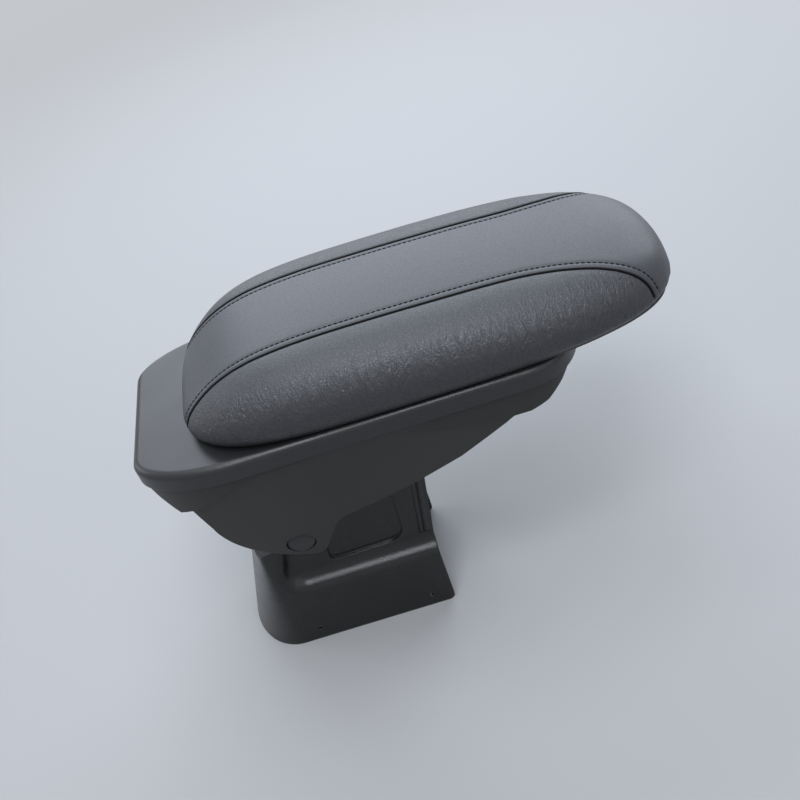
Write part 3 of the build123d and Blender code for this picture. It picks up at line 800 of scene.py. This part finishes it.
def seamShadowLine(name, line):
    # a thin dark round line in the groove where two panels are sewn together: painted shadow of the seam's fold
    curve = bpy.data.curves.new(name, "CURVE")
    curve.dimensions = "3D"
    curve.bevel_depth = pad["shadowLineRadius"]
    curve.bevel_resolution = pad["shadowLineRound"]
    curve.use_fill_caps = True
    places = [spot - normal * pad["shadowLineSink"] for spot, normal in line[::pad["shadowLineEvery"]]]
    spline = curve.splines.new("POLY")
    spline.points.add(len(places) - 1)
    for point, place in zip(spline.points, places):
        point.co = (*place, 1.0)
    guide = linkObject(name + "Guide", curve)
    obj = linkObject(name, evaluatedMesh(guide))
    bpy.data.objects.remove(guide)
    obj.data.materials.clear()
    obj.data.materials.append(threadAndShadowMaterial)
    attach(obj, "pad")
    return obj


# painted shadow: a dark line laid in each seam groove
seamShadowLines = [seamShadowLine("seamShadowLineRight", seamLines[-1]), seamShadowLine("seamShadowLineLeft", seamLines[1])]
print("seam creases:", len(seamShadowLines))
stitches = [stitchRow("topstitchRight", stitchRows[-1]), stitchRow("topstitchLeft", stitchRows[1])]
print("topstitch rows:", len(stitches))


shoulder = {
    "ledge": 54.0 * mm,        # the base's ledge, as in its solid
    "panelFace": 35.5 * mm,
    "rear": -29.0 * mm,
    "front": 82.95 * mm,
    "corner": 14.0 * mm,
    "lean": math.radians(17.0),
    "top": 92.0 * mm,
    "above": 9.5 * mm,         # how far the sweep runs up the panel
    "below": 8.0 * mm,         # and down the skirt
    "samples": 15,
    "stations": 46,
    "wall": 2.2 * mm,
    "sink": 0.12 * mm,
    "outside": 200.0 * mm,     # rays at the base start this far out
    "slopeStep": 1.0 * mm,
    "sharp": math.radians(40.0),
}


def shoulderPath():
    # the ledge's inner corner from front to rear, as places with the way to the panel's middle
    lean, ledge, corner = shoulder["lean"], shoulder["ledge"], shoulder["corner"]
    bend = math.radians(90.0) + lean
    tangent = corner / math.tan((math.pi - bend) / 2)
    start = Vector((shoulder["rear"] + tangent, 0.0, ledge))
    centre = start + Vector((0.0, 0.0, corner))
    rising = Vector((math.sin(lean), 0.0, math.cos(lean)))
    finish = Vector((shoulder["rear"], 0.0, ledge)) + rising * tangent
    top = finish + rising * (shoulder["top"] - finish.z) / rising.z
    level, arc, rise = shoulder["front"] - start.x, corner * bend, (top - finish).length
    stations = []
    for number in range(shoulder["stations"]):
        run = (level + arc + rise) * number / (shoulder["stations"] - 1)
        if run < level:
            stations.append((Vector((shoulder["front"] - run, 0.0, ledge)), Vector((0.0, 0.0, 1.0))))
        elif run < level + arc:
            turn = (run - level) / corner
            inward = Vector((math.sin(turn), 0.0, math.cos(turn)))
            stations.append((centre - inward * corner, inward))
        else:
            inward = Vector((math.cos(lean), 0.0, -math.sin(lean)))
            stations.append((finish + rising * (run - level - arc), inward))
    return stations


def shoulderSweep(name, side):
    # the soft sweep from the sunken panel over the ledge to the skirt, laid on the base's own faces
    skin = surfaceOf("console_base")

    def depthAt(spot):
        start = Vector((spot.x, side * shoulder["outside"], spot.z))
        hit = skin.ray_cast(start, Vector((0.0, -side, 0.0)))[0]
        return abs(hit.y) - shoulder["panelFace"]

    stations = shoulderPath()
    samples = shoulder["samples"]
    form = bmesh.new()
    bmesh.ops.create_grid(form, x_segments=len(stations) - 1, y_segments=samples - 1, size=0.5)
    low, high = -shoulder["below"], shoulder["above"]
    borders = []
    for place, inward in stations:
        outer = depthAt(place + inward * low)
        step = shoulder["slopeStep"]
        slope = (depthAt(place + inward * (low - step)) - outer) / step
        borders.append((outer, slope))
    for vert in form.verts:
        station = round((vert.co.x + 0.5) * (len(stations) - 1))
        share = round((vert.co.y + 0.5) * (samples - 1)) / (samples - 1)
        place, inward = stations[station]
        outer, slope = borders[station]
        # a hollow arc, then a round one of the same radius
        bend = 2.0 * math.atan2(outer, high - low)
        turned = bend * (2.0 * share if share < 0.5 else 2.0 - 2.0 * share)
        out = 0.5 * (1.0 - math.cos(turned)) / (1.0 - math.cos(bend))
        fall = 0.5 * (high - low) * math.sin(turned) / math.sin(bend)
        along = high - fall if share < 0.5 else low + fall
        out = out if share < 0.5 else 1.0 - out
        spot = place + inward * along
        depth = out * (outer + slope * (low - along))
        if share in (0.0, 1.0):
            depth -= shoulder["sink"]
        vert.co = Vector((spot.x, side * (shoulder["panelFace"] + depth), spot.z))
    for face in form.faces:
        face.smooth = True
    bmesh.ops.recalc_face_normals(form, faces=form.faces)
    if sum(face.normal.y * side for face in form.faces) < 0:
        bmesh.ops.reverse_faces(form, faces=form.faces)
    bmesh.ops.solidify(form, geom=form.faces[:], thickness=shoulder["wall"])
    bmesh.ops.recalc_face_normals(form, faces=form.faces)
    for edge in form.edges:
        edge.smooth = edge.calc_face_angle(0.0) < shoulder["sharp"]
    obj = linkObject(name, meshFrom(form, name))
    obj.data.materials.append(materials["base_shell"])
    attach(obj, "base")
    return obj


sweeps = [shoulderSweep("shoulderSweepRight", -1), shoulderSweep("shoulderSweepLeft", 1)]
print("shoulder sweeps:", len(sweeps))


stageLook = {
    "floorShown": (0.56, 0.56, 0.565),
    "farFrom": 0.45,           # from here the floor fades into the sky's colour
    "farTo": 1.7,
    "skyColour": (0.80, 0.82, 0.86),
    "skyLight": 0.08,
    "skyShown": 0.68,
    "floorBounce": (0.06, 0.06, 0.06),
    "floorRoughness": 0.9,
    "floorSpecular": 0.1,
    "floorSize": 14.0,
    "aim": (0.08, 0.0, 0.16),  # what the lamps point at
}


def seenDirectly(tree):
    path = tree.nodes.new("ShaderNodeLightPath")
    seen = mathNode(tree, "MAXIMUM", path.outputs["Is Camera Ray"], path.outputs["Is Glossy Ray"])
    return mathNode(tree, "MAXIMUM", seen, path.outputs["Is Transmission Ray"])


def floorMaterial():
    material, tree, shader = newMaterial("paleFloor")
    seen = seenDirectly(tree)
    shader.inputs["Roughness"].default_value = stageLook["floorRoughness"]
    shader.inputs["Specular IOR Level"].default_value = stageLook["floorSpecular"]
    reach = tree.nodes.new("ShaderNodeVectorMath")
    reach.operation = "LENGTH"
    tree.links.new(objectVector(tree), reach.inputs[0])
    far = rangeNode(tree, reach.outputs["Value"], stageLook["farFrom"], stageLook["farTo"], 0.0, 1.0)
    far.node.interpolation_type = "SMOOTHSTEP"
    colour = mixColours(tree, seen, stageLook["floorBounce"], stageLook["floorShown"])
    tree.links.new(mixColours(tree, far, colour, (0.0, 0.0, 0.0)), shader.inputs["Base Color"])
    shown = [part * stageLook["skyShown"] for part in stageLook["skyColour"]]
    shader.inputs["Emission Color"].default_value = (*shown, 1.0)
    tree.links.new(mathNode(tree, "MULTIPLY", far, seen), shader.inputs["Emission Strength"])
    return material


floorForm = bmesh.new()
bmesh.ops.create_grid(floorForm, x_segments=1, y_segments=1, size=stageLook["floorSize"] / 2)
floor = linkObject("floor", meshFrom(floorForm, "floor"))
floor.data.materials.append(floorMaterial())

lamps = {
    "softboxBack": dict(place=(0.0, 1.2, 0.98), size=1.3, power=12.5, colour=(0.82, 0.90, 1.0)),
    "softboxBackRight": dict(place=(1.05, 1.15, 0.72), size=1.0, power=7.5, colour=(0.82, 0.90, 1.0)),
    "softboxTop": dict(place=(0.1, -0.05, 1.75), size=1.2, power=11.0, colour=(0.86, 0.92, 1.0)),
    "softboxFront": dict(place=(0.0, -0.85, 1.65), size=0.8, power=12.5, colour=(0.90, 0.94, 1.0)),
    "fillRight": dict(place=(1.2, -1.2, 1.0), size=1.4, power=2.5, colour=(0.92, 0.96, 1.0)),
    "softboxLeft": dict(place=(-1.5, 0.6, 0.95), size=1.0, power=6.0, colour=(0.92, 0.96, 1.0)),
}
for name, lamp in lamps.items():
    data = bpy.data.lights.new(name, "AREA")
    data.size = lamp["size"]
    data.energy = lamp["power"]
    data.color = lamp["colour"]
    place = Vector(lamp["place"])
    facing = (Vector(stageLook["aim"]) - place).to_track_quat("-Z", "Y").to_matrix().to_4x4()
    linkObject(name, data).matrix_world = Matrix.Translation(place) @ facing
print("lamps placed:", len(lamps))

world = bpy.data.worlds.new("studio")
world.use_nodes = True
sky = world.node_tree
background = sky.nodes["Background"]
background.inputs["Color"].default_value = (*stageLook["skyColour"], 1.0)
skySeen = rangeNode(sky, seenDirectly(sky), 0.0, 1.0, stageLook["skyLight"], stageLook["skyShown"])
sky.links.new(skySeen, background.inputs["Strength"])
bpy.context.scene.world = world
bpy.context.scene.view_settings.view_transform = "Standard"

view = {
    "place": (0.1202, -0.5336, 0.6056),
    "elevation": 40.09,
    "turn": -3.28,
    "roll": 19.48,
    "lens": 47.27,
    "sensor": 36.0,
}


def photoCamera():
    turn, rise, roll = (math.radians(view[key]) for key in ("turn", "elevation", "roll"))
    level = Vector((math.cos(turn), -math.sin(turn), 0.0))
    upright = Vector((math.sin(turn) * math.sin(rise), math.cos(turn) * math.sin(rise), math.cos(rise)))
    back = Vector((-math.sin(turn) * math.cos(rise), -math.cos(turn) * math.cos(rise), math.sin(rise)))
    right = math.cos(roll) * level - math.sin(roll) * upright
    up = math.sin(roll) * level + math.cos(roll) * upright
    data = bpy.data.cameras.new("photoView")
    data.lens = view["lens"]
    data.sensor_width = view["sensor"]
    obj = linkObject("photoView", data)
    facing = Matrix((right, up, back)).transposed().to_4x4()
    obj.matrix_world = Matrix.Translation(Vector(view["place"])) @ facing
    bpy.context.scene.camera = obj


photoCamera()
